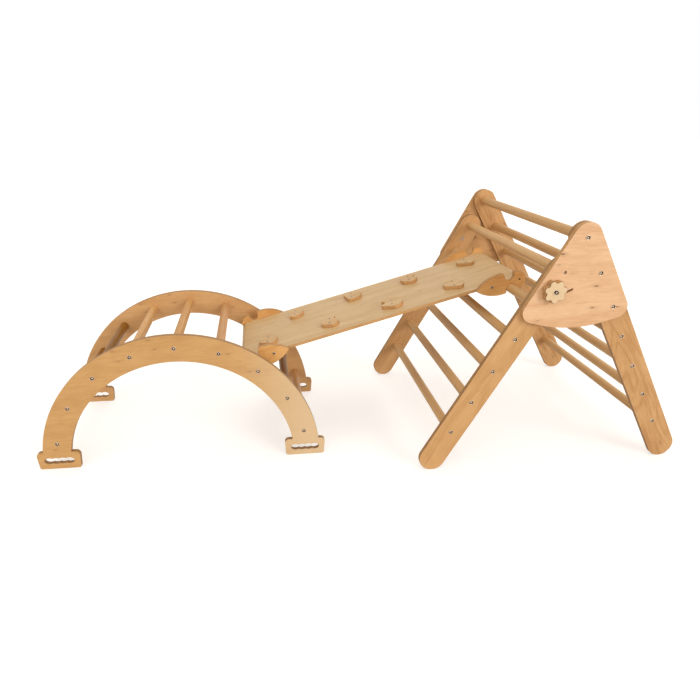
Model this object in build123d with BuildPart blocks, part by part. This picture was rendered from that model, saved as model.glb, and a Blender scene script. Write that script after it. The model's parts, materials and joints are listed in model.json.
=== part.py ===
from build123d import *
from math import cos, radians, sin, sqrt, tan
import os

os.makedirs("parts", exist_ok=True)

# Climbing set for small children: an arch, a folding triangle and a ramp hooked between them.
# X runs from the arch to the triangle, Y from front to rear, Z up from the floor.
# The origin lies on the floor, midway along the set and midway across it.

# Wood stock
ply_t = 15.0
board_t = 10.0
rung_d = 30.0
seat_gap = 0.3

# Folding triangle
frame_w = 760.0
leg_w = 86.0
leg_gap = 6.7
apex_h = 760.0
right_angle = 59.4
left_angle = 61.6
right_pitch = 120.0
left_pitch = 118.5
right_rungs = 7
left_rungs = 6
plate_rungs = 3
pivot_run = 60.0
fold_range = 56.0

# Side plates that join the two ladders
plate_corner_r = 33.0
plate_right_run = 250.0
plate_left_run = 141.0
plate_sag = 22.0
slot_spare = 3.5

# Climbing arch
arch_w = 486.0
arch_r = 410.0
band_w = 88.0
arch_step = 19.2
arch_rungs = 9
hook_rung = 6

# Arch feet with a finger grip in each
foot_arm = 403.0
foot_top_w = 138.0
foot_base_w = 129.0
foot_h = 62.0
foot_round = 14.0
foot_base_round = 8.0
grip_scallops = 4
grip_pitch = 21.0
grip_h = 16.0
grip_wave = 2.6
grip_end_share = 0.33
grip_z = 30.0

# Ramp board and its climbing holds
hook_span = 866.0
board_w = 350.0
board_overhang = 50.0
bevel_l = 12.0
bevel_t = 7.0
hold_t = 12.0
hold_count = 8
hold_pitch = 110.0
hold_row = 94.0
hold_u = 33.0
hold_y = 42.0
hold_round = 3.0
bite_r = 9.0
# Each hold: half length and half width as shares, side cut flat and its share, bitten side and bite size
hold_shares = (
    (0.97, 1.05, 234, 0.66, None, None),
    (0.98, 1.04, 176, 0.62, None, None),
    (0.92, 1.02, 238, 0.82, 25, 1.1),
    (1.12, 0.95, 190, 0.62, 60, 1.4),
    (1.14, 1.06, 236, 0.82, 165, 1.5),
    (0.92, 1.04, 242, 0.86, 10, 1.1),
    (1.00, 1.08, 234, 0.64, None, None),
    (0.94, 0.98, 232, 0.66, 118, 1.2),
)
bite_share = 0.96

# Hook plates of the ramp, measured from the notch centre
neck_t = 12.0
hook_tail = 114.0
hook_tail_h = 34.0
hook_mouth = 17.5
hook_head = 53.0
hook_head_h = 32.0
hook_round = 3.0
tail_mid_shares = (0.60, 0.84)
snout_shares = (0.36, 1.00)
cheek_shares = (0.77, 0.76)
brow_shares = (0.95, 0.38)
eye_d = 6.0
eye_run = 32.0

# Bolts, screws and pins
bolt_d = 6.0
bolt_head_d = 15.0
bolt_head_t = 2.4
bolt_grip = 38.0
socket_w = 4.0
socket_t = 1.6
hole_gap = 0.25
run_gap = 0.05
pivot_head_d = 9.0
pivot_head_t = 4.0
pivot_sink = 4.0
hold_screw_d = 3.5
hold_screw_head_d = 7.0
hold_screw_l = 19.0
hold_screw_run = 18.0
hold_screw_skew = 2.0
edge_screw_d = 5.0
edge_screw_head_d = 9.0
edge_screw_head_t = 1.8
edge_screw_l = 60.0
edge_screw_run = 62.0
dowel_d = 6.0
dowel_l = 32.0
dowel_in_hook = 11.0
dowel_run = 88.0

# Clamping knobs
knob_r = 35.0
knob_t = 20.0
knob_lobes = 7
knob_turn = -90.0
lobe_r = 9.5
dip_r = 5.5
knob_edge = 2.5
knob_arm = 60.0
washer_d = 18.0
washer_t = 1.6
knob_head_d = 11.0
knob_head_t = 4.0
tnut_d = 18.0
tnut_t = 1.5
tnut_barrel_d = 8.0
tnut_barrel_l = 9.0

# Worked-out radii and widths
rung_r = rung_d / 2
leg_r = leg_w / 2
inner_w = frame_w - 2 * ply_t
arch_inner_w = arch_w - 2 * ply_t
notch_r = rung_r + seat_gap
board_lift = notch_r + neck_t / 2
bolt_hole_r = bolt_d / 2 + hole_gap
sunk_t = bolt_head_t + seat_gap
plate_face_y = frame_w / 2 + ply_t
left_face_y = frame_w / 2 - seat_gap
left_inner_w = 2 * (left_face_y - ply_t)

# Directions in the side view: down each ladder, and square to it on the outside
right_down = Vector(cos(radians(right_angle)), -sin(radians(right_angle)))
right_out = Vector(sin(radians(right_angle)), cos(radians(right_angle)))
left_down = Vector(-cos(radians(left_angle)), -sin(radians(left_angle)))
left_out = Vector(-sin(radians(left_angle)), cos(radians(left_angle)))

# The two ladders share an edge gap, so the pivot is one leg width and a gap inside the right ladder
pivot_from_apex = right_down * pivot_run - right_out * (leg_w + leg_gap)
hook_from_apex = pivot_from_apex + left_down * left_pitch

# The ramp spans from an arch rung to the second rung of the left ladder
hook_angle = 90 + arch_step * (arch_rungs - 1) / 2 - arch_step * hook_rung
arch_hook = Vector(arch_r * cos(radians(hook_angle)), arch_r * sin(radians(hook_angle)))
ramp_rise = apex_h + hook_from_apex.Y - arch_hook.Y
ramp_run = sqrt(hook_span**2 - ramp_rise**2)
arch_from_apex = hook_from_apex.X - ramp_run - arch_hook.X
foot_taper = (foot_top_w - foot_base_w) / 2
foot_reach = foot_base_w / 2 + foot_taper * (1 - foot_round / foot_h)
arch_reach = foot_arm + foot_reach - arch_from_apex
right_reach = (apex_h - leg_r) / tan(radians(right_angle)) + leg_r
apex_x = (arch_reach - right_reach) / 2

# Places in the side view
apex = Vector(apex_x, apex_h)
pivot = apex + pivot_from_apex
right_foot = apex + right_down * ((apex_h - leg_r) / sin(radians(right_angle)))
left_foot = pivot + left_down * ((pivot.Y - leg_r) / sin(radians(left_angle)))
right_places = [apex + right_down * (right_pitch * i) for i in range(right_rungs)]
left_places = [pivot + left_down * (left_pitch * i) for i in range(left_rungs)]
arch_x = apex_x + arch_from_apex
arch_angles = [90 + arch_step * ((arch_rungs - 1) / 2 - i) for i in range(arch_rungs)]
arch_places = [
    Vector(arch_x + arch_r * cos(radians(t)), arch_r * sin(radians(t))) for t in arch_angles
]
knob_place = pivot + left_down * knob_arm

# Ramp frame: origin at the lower hooked rung, X up the ramp, Z square to the board
ramp_dir = Vector(ramp_run, 0, ramp_rise).normalized()
ramp_up = Vector(-ramp_rise, 0, ramp_run).normalized()
hook_origin = Vector(arch_places[hook_rung].X, 0, arch_places[hook_rung].Y)
board_mid = hook_origin + ramp_dir * (hook_span / 2) + ramp_up * board_lift
board_plane = Plane(board_mid, x_dir=ramp_dir, z_dir=ramp_up)
ramp_side = Plane(board_mid - Vector(0, board_w / 2, 0), x_dir=ramp_dir, z_dir=(0, -1, 0))
board_top = board_plane.offset(board_t / 2)
hold_top = board_plane.offset(board_t / 2 + hold_t)
hold_runs = [hold_pitch * (i - (hold_count - 1) / 2) for i in range(hold_count)]
hold_rows = [-hold_row if i % 2 == 0 else hold_row for i in range(hold_count)]


def xz(place):
    """Side-view place as sketch coordinates."""
    return (place.X, place.Y)


def side_bolts(places, face_y):
    """Places for bolts driven in from the front face at -face_y and the rear face at face_y."""
    front = [Location((p.X, -face_y, p.Y), (90, 0, 0)) for p in places]
    rear = [Location((p.X, face_y, p.Y), (-90, 0, 0)) for p in places]
    return front + rear


def socket_bolt(shank_l, head_d=bolt_head_d, head_t=bolt_head_t):
    """Flat-headed bolt with a hex socket, its head standing on Z = 0 and its shank below."""
    with BuildPart() as bolt:
        with BuildSketch():
            Circle(head_d / 2)
        extrude(amount=head_t)
        with BuildSketch():
            Circle(bolt_d / 2)
        extrude(amount=-shank_l)
        with BuildSketch(Plane.XY.offset(head_t)):
            RegularPolygon(radius=socket_w / 2, side_count=6, major_radius=False)
        extrude(amount=-socket_t, mode=Mode.SUBTRACT)
    return bolt.part


def make_rungs(prefix, places, length):
    """One node for each rung: a beech rod with a bolt bore in either end."""
    for number, place in enumerate(places):
        with BuildPart() as rung:
            with BuildSketch(Plane.XZ.offset(-length / 2)):
                with Locations(xz(place)):
                    Circle(rung_r)
            extrude(amount=length)
            for side in (-1, 1):
                with BuildSketch(Plane.XZ.offset(side * length / 2)):
                    with Locations(xz(place)):
                        Circle(bolt_hole_r)
                extrude(amount=-side * bolt_grip, mode=Mode.SUBTRACT)
        write(rung.part, f"{prefix}_{number + 1}")


def drill(places, radius):
    """Round holes at side-view places, cut from the sketch under way."""
    with Locations(*[xz(p) for p in places]):
        Circle(radius, mode=Mode.SUBTRACT)


def write(node, name):
    """Label a finished piece and write its file."""
    node.label = name
    export_step(node, f"parts/{name}.step")


def write_pair(front, name):
    """Write a front piece and its mirror image at the rear."""
    write(front, f"{name}_front")
    write(mirror(front, about=Plane.XZ), f"{name}_rear")


# Arch side panel: a half ring standing on two feet, each with a scalloped finger grip
foot_places = [(arch_x - foot_arm, 0), (arch_x + foot_arm, 0)]
grip_l = grip_scallops * grip_pitch
with BuildSketch() as foot_face:
    with BuildLine():
        Polyline(
            (-foot_base_w / 2, 0),
            (foot_base_w / 2, 0),
            (foot_top_w / 2, foot_h),
            (-foot_top_w / 2, foot_h),
            close=True,
        )
    make_face()
    fillet(foot_face.vertices().group_by(Axis.Y)[0], radius=foot_base_round)
    fillet(foot_face.vertices().group_by(Axis.Y)[-1], radius=foot_round)

with BuildSketch() as grip_face:
    with BuildLine():
        for side in (-1, 1):
            edge_z = side * grip_h / 2
            for i in range(grip_scallops):
                left = -grip_l / 2 + i * grip_pitch
                crest = (left + grip_pitch / 2, edge_z + side * grip_wave)
                ThreePointArc((left, edge_z), crest, (left + grip_pitch, edge_z))
            bulge = (side * (grip_l / 2 + grip_h * grip_end_share), 0)
            ThreePointArc((side * grip_l / 2, -grip_h / 2), bulge, (side * grip_l / 2, grip_h / 2))
    make_face()

with BuildPart() as arch_panel:
    with BuildSketch(Plane.XZ.offset(arch_w / 2)):
        with Locations((arch_x, 0)):
            Circle(arch_r + band_w / 2)
            Circle(arch_r - band_w / 2, mode=Mode.SUBTRACT)
        with Locations((arch_x, foot_h / 2)):
            Rectangle(
                2 * arch_r + 2 * band_w,
                arch_r + band_w,
                align=(Align.CENTER, Align.MAX),
                mode=Mode.SUBTRACT,
            )
        with Locations(*foot_places):
            add(foot_face.sketch)
        with Locations(*[(x, grip_z) for x, z in foot_places]):
            add(grip_face.sketch, mode=Mode.SUBTRACT)
        drill(arch_places, bolt_hole_r)
    extrude(amount=-ply_t)
write_pair(arch_panel.part, "arch_panel")

make_rungs("arch_rung", arch_places, arch_inner_w)

with BuildPart() as arch_bolts:
    with Locations(*side_bolts(arch_places, arch_w / 2)):
        add(socket_bolt(ply_t + bolt_grip - seat_gap))
write(arch_bolts.part, "arch_bolts")


# Ladder legs: straight boards with full round ends, both ladders in the same layer
def leg_face(top, foot, angle):
    """Stadium outline from the top centre to the foot centre."""
    middle = (top + foot) * 0.5
    with BuildSketch() as face:
        with Locations(Location((middle.X, middle.Y, 0), (0, 0, angle))):
            SlotCenterToCenter((foot - top).length, leg_w)
    return face.sketch


with BuildPart() as right_leg:
    with BuildSketch(Plane.XZ.offset(frame_w / 2)):
        add(leg_face(apex, right_foot, -right_angle))
        drill(right_places, bolt_hole_r)
    extrude(amount=-ply_t)
write_pair(right_leg.part, "right_leg")

with BuildPart() as left_leg:
    with BuildSketch(Plane.XZ.offset(left_face_y)):
        add(leg_face(pivot, left_foot, left_angle))
        drill(left_places + [knob_place], bolt_hole_r)
    extrude(amount=-ply_t)
    with BuildSketch(Plane.XZ.offset(left_face_y)):
        with Locations(xz(left_places[1])):
            Circle(bolt_head_d / 2 + hole_gap)
    extrude(amount=-sunk_t, mode=Mode.SUBTRACT)
    with BuildSketch(Plane.XZ.offset(left_face_y - ply_t)):
        with Locations(xz(knob_place)):
            Circle(tnut_barrel_d / 2 + run_gap)
    extrude(amount=tnut_barrel_l + seat_gap, mode=Mode.SUBTRACT)
write_pair(left_leg.part, "left_leg")

make_rungs("right_rung", right_places, inner_w)
make_rungs("left_rung", left_places, left_inner_w)

# Side plates: rounded triangles over both ladders, with the pivot bore and the knob's arc slot
right_corner = apex + right_down * plate_right_run + right_out * (leg_r - plate_corner_r)
left_corner = pivot + left_down * plate_left_run + left_out * (leg_r - plate_corner_r)
corner_line = (right_corner - left_corner).normalized()
corner_down = Vector(corner_line.Y, -corner_line.X)
left_low = left_corner + corner_down * plate_corner_r
right_low = right_corner + corner_down * plate_corner_r
belly = (left_low + right_low) * 0.5 + corner_down * plate_sag
slot_start = 180 + left_angle
with BuildLine() as slot_path:
    CenterArc(xz(pivot), knob_arm, slot_start, fold_range + slot_spare)
with BuildSketch() as plate_face:
    with BuildLine():
        CenterArc(xz(apex), leg_r, 0, 360)
    with BuildLine():
        CenterArc(xz(right_corner), plate_corner_r, 0, 360)
    with BuildLine():
        CenterArc(xz(left_corner), plate_corner_r, 0, 360)
    with BuildLine():
        ThreePointArc(xz(left_low), xz(belly), xz(right_low))
    make_hull()
    SlotArc(slot_path.edge(), bolt_d + 2 * hole_gap, mode=Mode.SUBTRACT)
    drill(right_places[:plate_rungs], bolt_hole_r)
    drill([pivot], bolt_d / 2 + run_gap)

with BuildPart() as plate:
    with BuildSketch(Plane.XZ.offset(plate_face_y)):
        add(plate_face.sketch)
    extrude(amount=-ply_t)
    with BuildSketch(Plane.XZ.offset(plate_face_y)):
        with Locations(xz(pivot)):
            Circle(pivot_head_d / 2 + seat_gap)
    extrude(amount=-(pivot_sink + pivot_head_t + seat_gap), mode=Mode.SUBTRACT)
write_pair(plate.part, "side_plate")

# Bolts that hold the rungs, and the sunk bolts on which the ladders fold
with BuildPart() as plate_bolts:
    with Locations(*side_bolts(right_places[:plate_rungs], plate_face_y)):
        add(socket_bolt(2 * ply_t + bolt_grip - seat_gap))
write(plate_bolts.part, "plate_bolts")

with BuildPart() as right_bolts:
    with Locations(*side_bolts(right_places[plate_rungs:], frame_w / 2)):
        add(socket_bolt(ply_t + bolt_grip - seat_gap))
write(right_bolts.part, "right_bolts")

with BuildPart() as left_bolts:
    with Locations(*side_bolts(left_places[2:], left_face_y)):
        add(socket_bolt(ply_t + bolt_grip - seat_gap))
    with Locations(*side_bolts(left_places[1:2], left_face_y - sunk_t)):
        add(socket_bolt(ply_t - sunk_t + bolt_grip - seat_gap))
write(left_bolts.part, "left_bolts")

pivot_seat_y = plate_face_y - pivot_sink - pivot_head_t
pivot_shank_l = pivot_seat_y - left_inner_w / 2 + bolt_grip - seat_gap
with BuildPart() as pivot_bolts:
    with Locations(*side_bolts([pivot], pivot_seat_y)):
        add(socket_bolt(pivot_shank_l, pivot_head_d, pivot_head_t))
write(pivot_bolts.part, "pivot_bolts")

with BuildPart() as tee_nut:
    Cylinder(tnut_d / 2, tnut_t, align=(Align.CENTER, Align.CENTER, Align.MIN))
    Cylinder(tnut_barrel_d / 2, tnut_barrel_l, align=(Align.CENTER, Align.CENTER, Align.MAX))
    Cylinder(bolt_d / 2 + run_gap, 2 * (tnut_t + tnut_barrel_l), mode=Mode.SUBTRACT)
nut_spots = [
    Location((knob_place.X, -left_inner_w / 2, knob_place.Y), (-90, 0, 0)),
    Location((knob_place.X, left_inner_w / 2, knob_place.Y), (90, 0, 0)),
]
with BuildPart() as tee_nuts:
    with Locations(*nut_spots):
        add(tee_nut.part)
write(tee_nuts.part, "tee_nuts")

# Clamping knobs: a lobed wooden disc with its bolt through the plate's slot into the left leg
knob_seat_y = plate_face_y + seat_gap
half_step = 180 / knob_lobes
lobe_arm = knob_r - lobe_r
lobe_side = lobe_arm * sin(radians(half_step))
dip_arm = lobe_arm * cos(radians(half_step)) + sqrt((lobe_r + dip_r) ** 2 - lobe_side**2)


def ring_point(arm, turn):
    """Point at a distance from the centre and an angle in degrees."""
    return Vector(arm * cos(radians(turn)), arm * sin(radians(turn)))


def lobe_edge(lobe_turn, dip_turn):
    """Point where a lobe runs smoothly into the dip beside it."""
    lobe_centre = ring_point(lobe_arm, lobe_turn)
    return lobe_centre + (ring_point(dip_arm, dip_turn) - lobe_centre).normalized() * lobe_r


with BuildSketch() as knob_face:
    with BuildLine():
        for i in range(knob_lobes):
            turn = knob_turn + 2 * half_step * i
            before = lobe_edge(turn, turn - half_step)
            after = lobe_edge(turn, turn + half_step)
            following = lobe_edge(turn + 2 * half_step, turn + half_step)
            ThreePointArc(before, ring_point(knob_r, turn), after)
            ThreePointArc(after, ring_point(dip_arm - dip_r, turn + half_step), following)
    make_face()

with BuildPart() as knob:
    with BuildSketch(Plane.XZ.offset(knob_seat_y)):
        with Locations(xz(knob_place)):
            add(knob_face.sketch)
            Circle(bolt_hole_r, mode=Mode.SUBTRACT)
    extrude(amount=knob_t)
    chamfer(knob.faces().sort_by(Axis.Y)[0].outer_wire().edges(), length=knob_edge)
write_pair(knob.part, "knob")

washer_y = knob_seat_y + knob_t
with BuildPart() as knob_washer:
    with BuildSketch(Plane.XZ.offset(washer_y)):
        with Locations(xz(knob_place)):
            Circle(washer_d / 2)
            Circle(bolt_hole_r, mode=Mode.SUBTRACT)
    extrude(amount=washer_t)
write_pair(knob_washer.part, "knob_washer")

knob_head_y = washer_y + washer_t
with BuildPart() as knob_bolt:
    with Locations(side_bolts([knob_place], knob_head_y)[0]):
        add(socket_bolt(knob_head_y - left_inner_w / 2 + tnut_t, knob_head_d, knob_head_t))
write_pair(knob_bolt.part, "knob_bolt")

# Ramp board: thin plywood with bevelled ends, bored for its screws and pins
hook_x = hook_span / 2
board_half = hook_x + board_overhang
screw_spots = [(end * (hook_x - edge_screw_run), 0) for end in (-1, 1)]
dowel_spots = [(end * (hook_x - dowel_run), 0) for end in (-1, 1)]
hold_screw_spots = [
    (run + side * hold_screw_skew, row + side * hold_screw_run)
    for run, row in zip(hold_runs, hold_rows)
    for side in (-1, 1)
]
with BuildPart() as board:
    with BuildSketch(ramp_side):
        with BuildLine():
            Polyline(
                (-board_half, -board_t / 2),
                (board_half, -board_t / 2),
                (board_half, board_t / 2 - bevel_t),
                (board_half - bevel_l, board_t / 2),
                (bevel_l - board_half, board_t / 2),
                (-board_half, board_t / 2 - bevel_t),
                close=True,
            )
        make_face()
    extrude(amount=-board_w)
    for face_y, inward in ((0, -1), (-board_w, 1)):
        with BuildSketch(ramp_side.offset(face_y)):
            with Locations(*screw_spots):
                Circle(edge_screw_d / 2 + hole_gap)
        extrude(amount=inward * (edge_screw_l - ply_t + seat_gap), mode=Mode.SUBTRACT)
        with BuildSketch(ramp_side.offset(face_y)):
            with Locations(*dowel_spots):
                Circle(dowel_d / 2 + run_gap)
        extrude(amount=inward * (dowel_l - dowel_in_hook + seat_gap), mode=Mode.SUBTRACT)
    with BuildSketch(board_top):
        with Locations(*hold_screw_spots):
            Circle(hold_screw_d / 2 + hole_gap)
    extrude(amount=-board_t, mode=Mode.SUBTRACT)
write(board.part, "ramp_board")

# Hook plates: a tail screwed to the board's edge, a neck between two notches, and a head beyond
tail_tip = (-hook_tail, 0)
tail_mid = (-hook_tail * tail_mid_shares[0], hook_tail_h * tail_mid_shares[1])
tail_end = (-hook_mouth, hook_tail_h)
notch_start = (-notch_r, board_lift)
notch_end = (notch_r, board_lift)
snout = (hook_head * snout_shares[0], hook_head_h * snout_shares[1])
cheek = (hook_head * cheek_shares[0], hook_head_h * cheek_shares[1])
brow = (hook_head * brow_shares[0], hook_head_h * brow_shares[1])
with BuildSketch() as hook_face:
    with BuildLine():
        ThreePointArc(tail_tip, tail_mid, tail_end)
        Line(tail_end, notch_start)
        ThreePointArc(notch_start, (0, neck_t / 2), notch_end)
        Polyline(notch_end, snout, cheek, brow, (hook_head, 0), tail_tip)
    make_face()
    mirror(about=Plane.XZ)
    corners = hook_face.vertices().filter_by_position(Axis.X, -hook_mouth, hook_head, (True, False))
    fillet([v for v in corners if abs(v.Y) > board_lift + seat_gap or v.X > snout[0]], radius=hook_round)
    with Locations((-edge_screw_run, 0)):
        Circle(edge_screw_d / 2 + hole_gap, mode=Mode.SUBTRACT)
    with Locations((eye_run, 0)):
        Circle(eye_d / 2, mode=Mode.SUBTRACT)

hook_ends = (("triangle", hook_face.sketch, 1), ("arch", mirror(hook_face.sketch, about=Plane.YZ), -1))
hook_sides = (("front", 0, 1), ("rear", -board_w, -1))
for end_name, face, end in hook_ends:
    for side_name, face_offset, outward in hook_sides:
        with BuildPart() as hook:
            with BuildSketch(ramp_side.offset(face_offset)):
                with Locations((end * hook_x, 0)):
                    add(face)
            extrude(amount=outward * ply_t)
            with BuildSketch(ramp_side.offset(face_offset)):
                with Locations((end * (hook_x - dowel_run), 0)):
                    Circle(dowel_d / 2 + run_gap)
            extrude(amount=outward * (dowel_in_hook + seat_gap), mode=Mode.SUBTRACT)
        write(hook.part, f"hook_{end_name}_{side_name}")

with BuildPart() as edge_screw:
    Cylinder(edge_screw_head_d / 2, edge_screw_head_t, align=(Align.CENTER, Align.CENTER, Align.MIN))
    Cylinder(edge_screw_d / 2, edge_screw_l, align=(Align.CENTER, Align.CENTER, Align.MAX))
with BuildPart() as edge_dowel:
    Cylinder(dowel_d / 2, dowel_l, align=(Align.CENTER, Align.CENTER, Align.MIN))


def edge_places(run, y):
    """Places at both ends and on both sides of the board, facing outward."""
    spots = []
    for end in (-1, 1):
        centre = board_mid + ramp_dir * (end * run)
        spots.append(Location((centre.X, -y, centre.Z), (90, 0, 0)))
        spots.append(Location((centre.X, y, centre.Z), (-90, 0, 0)))
    return spots


with BuildPart() as edge_screws:
    with Locations(*edge_places(hook_x - edge_screw_run, board_w / 2 + ply_t)):
        add(edge_screw.part)
write(edge_screws.part, "hook_screws")

with BuildPart() as edge_dowels:
    with Locations(*edge_places(hook_x - dowel_run, board_w / 2 + dowel_in_hook - dowel_l)):
        add(edge_dowel.part)
write(edge_dowels.part, "hook_dowels")

# Climbing holds: small plywood shapes in two staggered rows, two screws in each
def outline_turn(half_u, half_y, share, degrees):
    """Point at a share of the way out from the hold's centre in the given direction."""
    return (half_u * share * cos(radians(degrees)), half_y * share * sin(radians(degrees)))


for number, row_shares in enumerate(hold_shares):
    u_share, y_share, flat_turn, flat_share, bite_turn, size_share = row_shares
    half_u = hold_u * u_share
    half_y = hold_y * y_share
    with BuildSketch() as hold_face:
        Ellipse(half_u, half_y, rotation=180)
        flat_x, flat_y = outline_turn(half_u, half_y, flat_share, flat_turn)
        with Locations(Location((flat_x, flat_y, 0), (0, 0, flat_turn))):
            Rectangle(
                hold_y,
                2 * (hold_u + hold_y),
                align=(Align.MIN, Align.CENTER),
                mode=Mode.SUBTRACT,
            )
        if bite_turn is not None:
            with Locations(outline_turn(half_u, half_y, bite_share, bite_turn)):
                Circle(bite_r * size_share, mode=Mode.SUBTRACT)
        fillet(hold_face.vertices(), radius=hold_round)
    screws = hold_screw_spots[2 * number : 2 * number + 2]
    with BuildPart() as hold:
        with BuildSketch(board_top):
            with Locations((hold_runs[number], hold_rows[number])):
                add(hold_face.sketch)
        extrude(amount=hold_t)
        with Locations(*[hold_top.location * Location((x, y, 0)) for x, y in screws]):
            CounterSinkHole(
                hold_screw_d / 2 + hole_gap,
                hold_screw_head_d / 2 + hole_gap,
                depth=hold_t,
                counter_sink_angle=90,
            )
    write(hold.part, f"hold_{number + 1}")

with BuildPart() as hold_screw:
    Cone(
        hold_screw_d / 2,
        hold_screw_head_d / 2,
        (hold_screw_head_d - hold_screw_d) / 2,
        align=(Align.CENTER, Align.CENTER, Align.MAX),
    )
    Cylinder(hold_screw_d / 2, hold_screw_l, align=(Align.CENTER, Align.CENTER, Align.MAX))
with BuildPart() as hold_screws:
    with Locations(*[hold_top.location * Location((x, y, 0)) for x, y in hold_screw_spots]):
        add(hold_screw.part)
write(hold_screws.part, "hold_screws")
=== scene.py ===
import json
import math
from functools import cache

import bmesh
import bpy
import numpy as np
from bpy.props import FloatProperty, FloatVectorProperty, IntProperty, PointerProperty
from mathutils import Color, Matrix, Vector

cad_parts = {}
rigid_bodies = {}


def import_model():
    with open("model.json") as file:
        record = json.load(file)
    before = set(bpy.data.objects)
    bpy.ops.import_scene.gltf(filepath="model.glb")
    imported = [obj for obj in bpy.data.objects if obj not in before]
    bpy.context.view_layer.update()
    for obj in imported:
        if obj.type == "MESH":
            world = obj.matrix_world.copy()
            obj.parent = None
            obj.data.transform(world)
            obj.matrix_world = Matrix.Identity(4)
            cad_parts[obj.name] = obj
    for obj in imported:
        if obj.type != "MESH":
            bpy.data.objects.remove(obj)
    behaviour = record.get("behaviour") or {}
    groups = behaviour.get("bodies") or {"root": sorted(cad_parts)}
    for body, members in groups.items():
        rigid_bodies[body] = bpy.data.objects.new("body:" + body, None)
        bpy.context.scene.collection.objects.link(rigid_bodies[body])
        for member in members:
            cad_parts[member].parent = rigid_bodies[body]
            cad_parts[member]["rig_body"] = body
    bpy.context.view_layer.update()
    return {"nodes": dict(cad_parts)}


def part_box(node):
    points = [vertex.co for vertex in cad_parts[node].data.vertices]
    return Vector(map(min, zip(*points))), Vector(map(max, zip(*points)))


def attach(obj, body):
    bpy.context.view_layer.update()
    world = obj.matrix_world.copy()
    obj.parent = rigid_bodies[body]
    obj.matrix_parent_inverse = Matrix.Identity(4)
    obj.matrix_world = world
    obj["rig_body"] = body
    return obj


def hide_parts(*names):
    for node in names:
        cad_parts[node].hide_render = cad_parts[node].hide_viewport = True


bl_info = {
    "name": "Climbing set finish",
    "version": (1, 0, 0),
    "blender": (4, 5, 0),
    "location": "3D View > Sidebar > Climbing set",
    "description": "Lacquered wood, bolts and knobs of an arch, a ramp and a folding triangle",
    "category": "Object",
}

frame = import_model()
NODES = frame["nodes"]

ARCH_RUNGS = [f"arch_rung_{i}" for i in range(1, 10)]
LEFT_RUNGS = [f"left_rung_{i}" for i in range(1, 7)]
RIGHT_RUNGS = [f"right_rung_{i}" for i in range(1, 8)]
HOLDS = [f"hold_{i}" for i in range(1, 9)]
SIDES = (("front", -1), ("rear", 1))

# Points of a CAD node closer than this are one, triangles within this angle of one plane are
# joined, and edges that turn by more than the crease are cut edges
MERGE, FLAT, CREASE = 2e-6, math.radians(0.3), math.radians(40)
# How far a cloudy patch of the veneer moves red, green and blue
PATCH_TINT = (0.3, 0.45, 0.7)
# How far off the lamps' objects hang, which doesn't change their light
LAMP_DISTANCE = 3.0
# Radius of the small face that closes a turned shape, round or in the middle of a cross
MIDDLE, CROSS_MIDDLE = 0.0003, 0.0002
# Room between a shank and the bore of the knob or the washer on it
KNOB_ROOM, WASHER_ROOM = 0.0003, 0.0002
# Rows of a turned profile, counted from its end, that take the second material, painted shade:
# in a socket or a screw's cross, and over the knob bolt's whole head as a painted dark reflection
SOCKET_ROWS, HEAD_ROWS, CROSS_ROWS = (-4, -2), (-13, -2), (-3, 0)


def tone(red, green, blue):
    """Scene colour of a screen colour given in steps of 255."""
    parts = []
    for step in (red, green, blue):
        c = step / 255
        parts.append(c / 12.92 if c <= 0.04045 else ((c + 0.055) / 1.055) ** 2.4)
    return tuple(parts)


def centre(node):
    """Middle of a CAD node's box."""
    low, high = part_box(node)
    return (low + high) / 2


def reach(node):
    """How near to and how far from the set's middle plane a side piece lies."""
    low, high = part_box(node)
    return sorted((abs(low.y), abs(high.y)))


def side_turn(low, high):
    """Angle in the side view of the line from one rung to another."""
    line = centre(high) - centre(low)
    return math.atan2(line.z, line.x)


# The ramp's base, span and directions, read from the rungs that it hangs on
RAMP_BASE = centre("arch_rung_7")
RAMP_SPAN = (centre("left_rung_2") - RAMP_BASE).length
RAMP_DIR = (centre("left_rung_2") - RAMP_BASE).normalized()
RAMP_UP = Vector((-RAMP_DIR.z, 0, RAMP_DIR.x))
# From those rungs up to the middle of the board
BOARD_RISE = 0.0213
BOARD_LEVEL = RAMP_BASE.dot(RAMP_UP) + BOARD_RISE

# Angles of the grain in the side view
RAMP_TURN = side_turn("arch_rung_7", "left_rung_2")
LEFT_TURN = side_turn("left_rung_6", "left_rung_1")
RIGHT_TURN = side_turn("right_rung_1", "right_rung_7")
ARCH_TURN, PLATE_TURN, KNOB_TURN = 0.04, 0.02, 0.6
# Where along X the front arch panel's veneer begins and ends to turn paler towards its right foot
PALING = (centre("arch_rung_5").x + 0.14, centre("arch_rung_5").x + 0.43)


def colour(name, about, default):
    """A colour setting."""
    return FloatVectorProperty(
        name=name, description=about, subtype="COLOR", size=3, min=0, max=1, default=default
    )


def pale_tone(wood, of, *steps):
    """Setting of a wood's pale tone, given in steps of 255."""
    return colour(f"{wood} pale", f"Pale grain of {of}", tone(*steps))


def dark_tone(wood, of, *steps):
    """Setting of a wood's dark tone, given in steps of 255."""
    return colour(f"{wood} dark", f"Dark grain of {of}", tone(*steps))


def length(name, about, default, low=0.0, high=1.0):
    """A length setting in metres."""
    return FloatProperty(
        name=name,
        description=about,
        unit="LENGTH",
        precision=4,
        min=low,
        max=high,
        default=default,
    )


def share(name, about, default, high=1.0):
    """A plain number setting."""
    return FloatProperty(name=name, description=about, min=0, max=high, default=default)


def angle(name, about, degrees):
    """An angle setting, its default given in degrees."""
    return FloatProperty(
        name=name, description=about, subtype="ANGLE", default=math.radians(degrees)
    )


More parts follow.
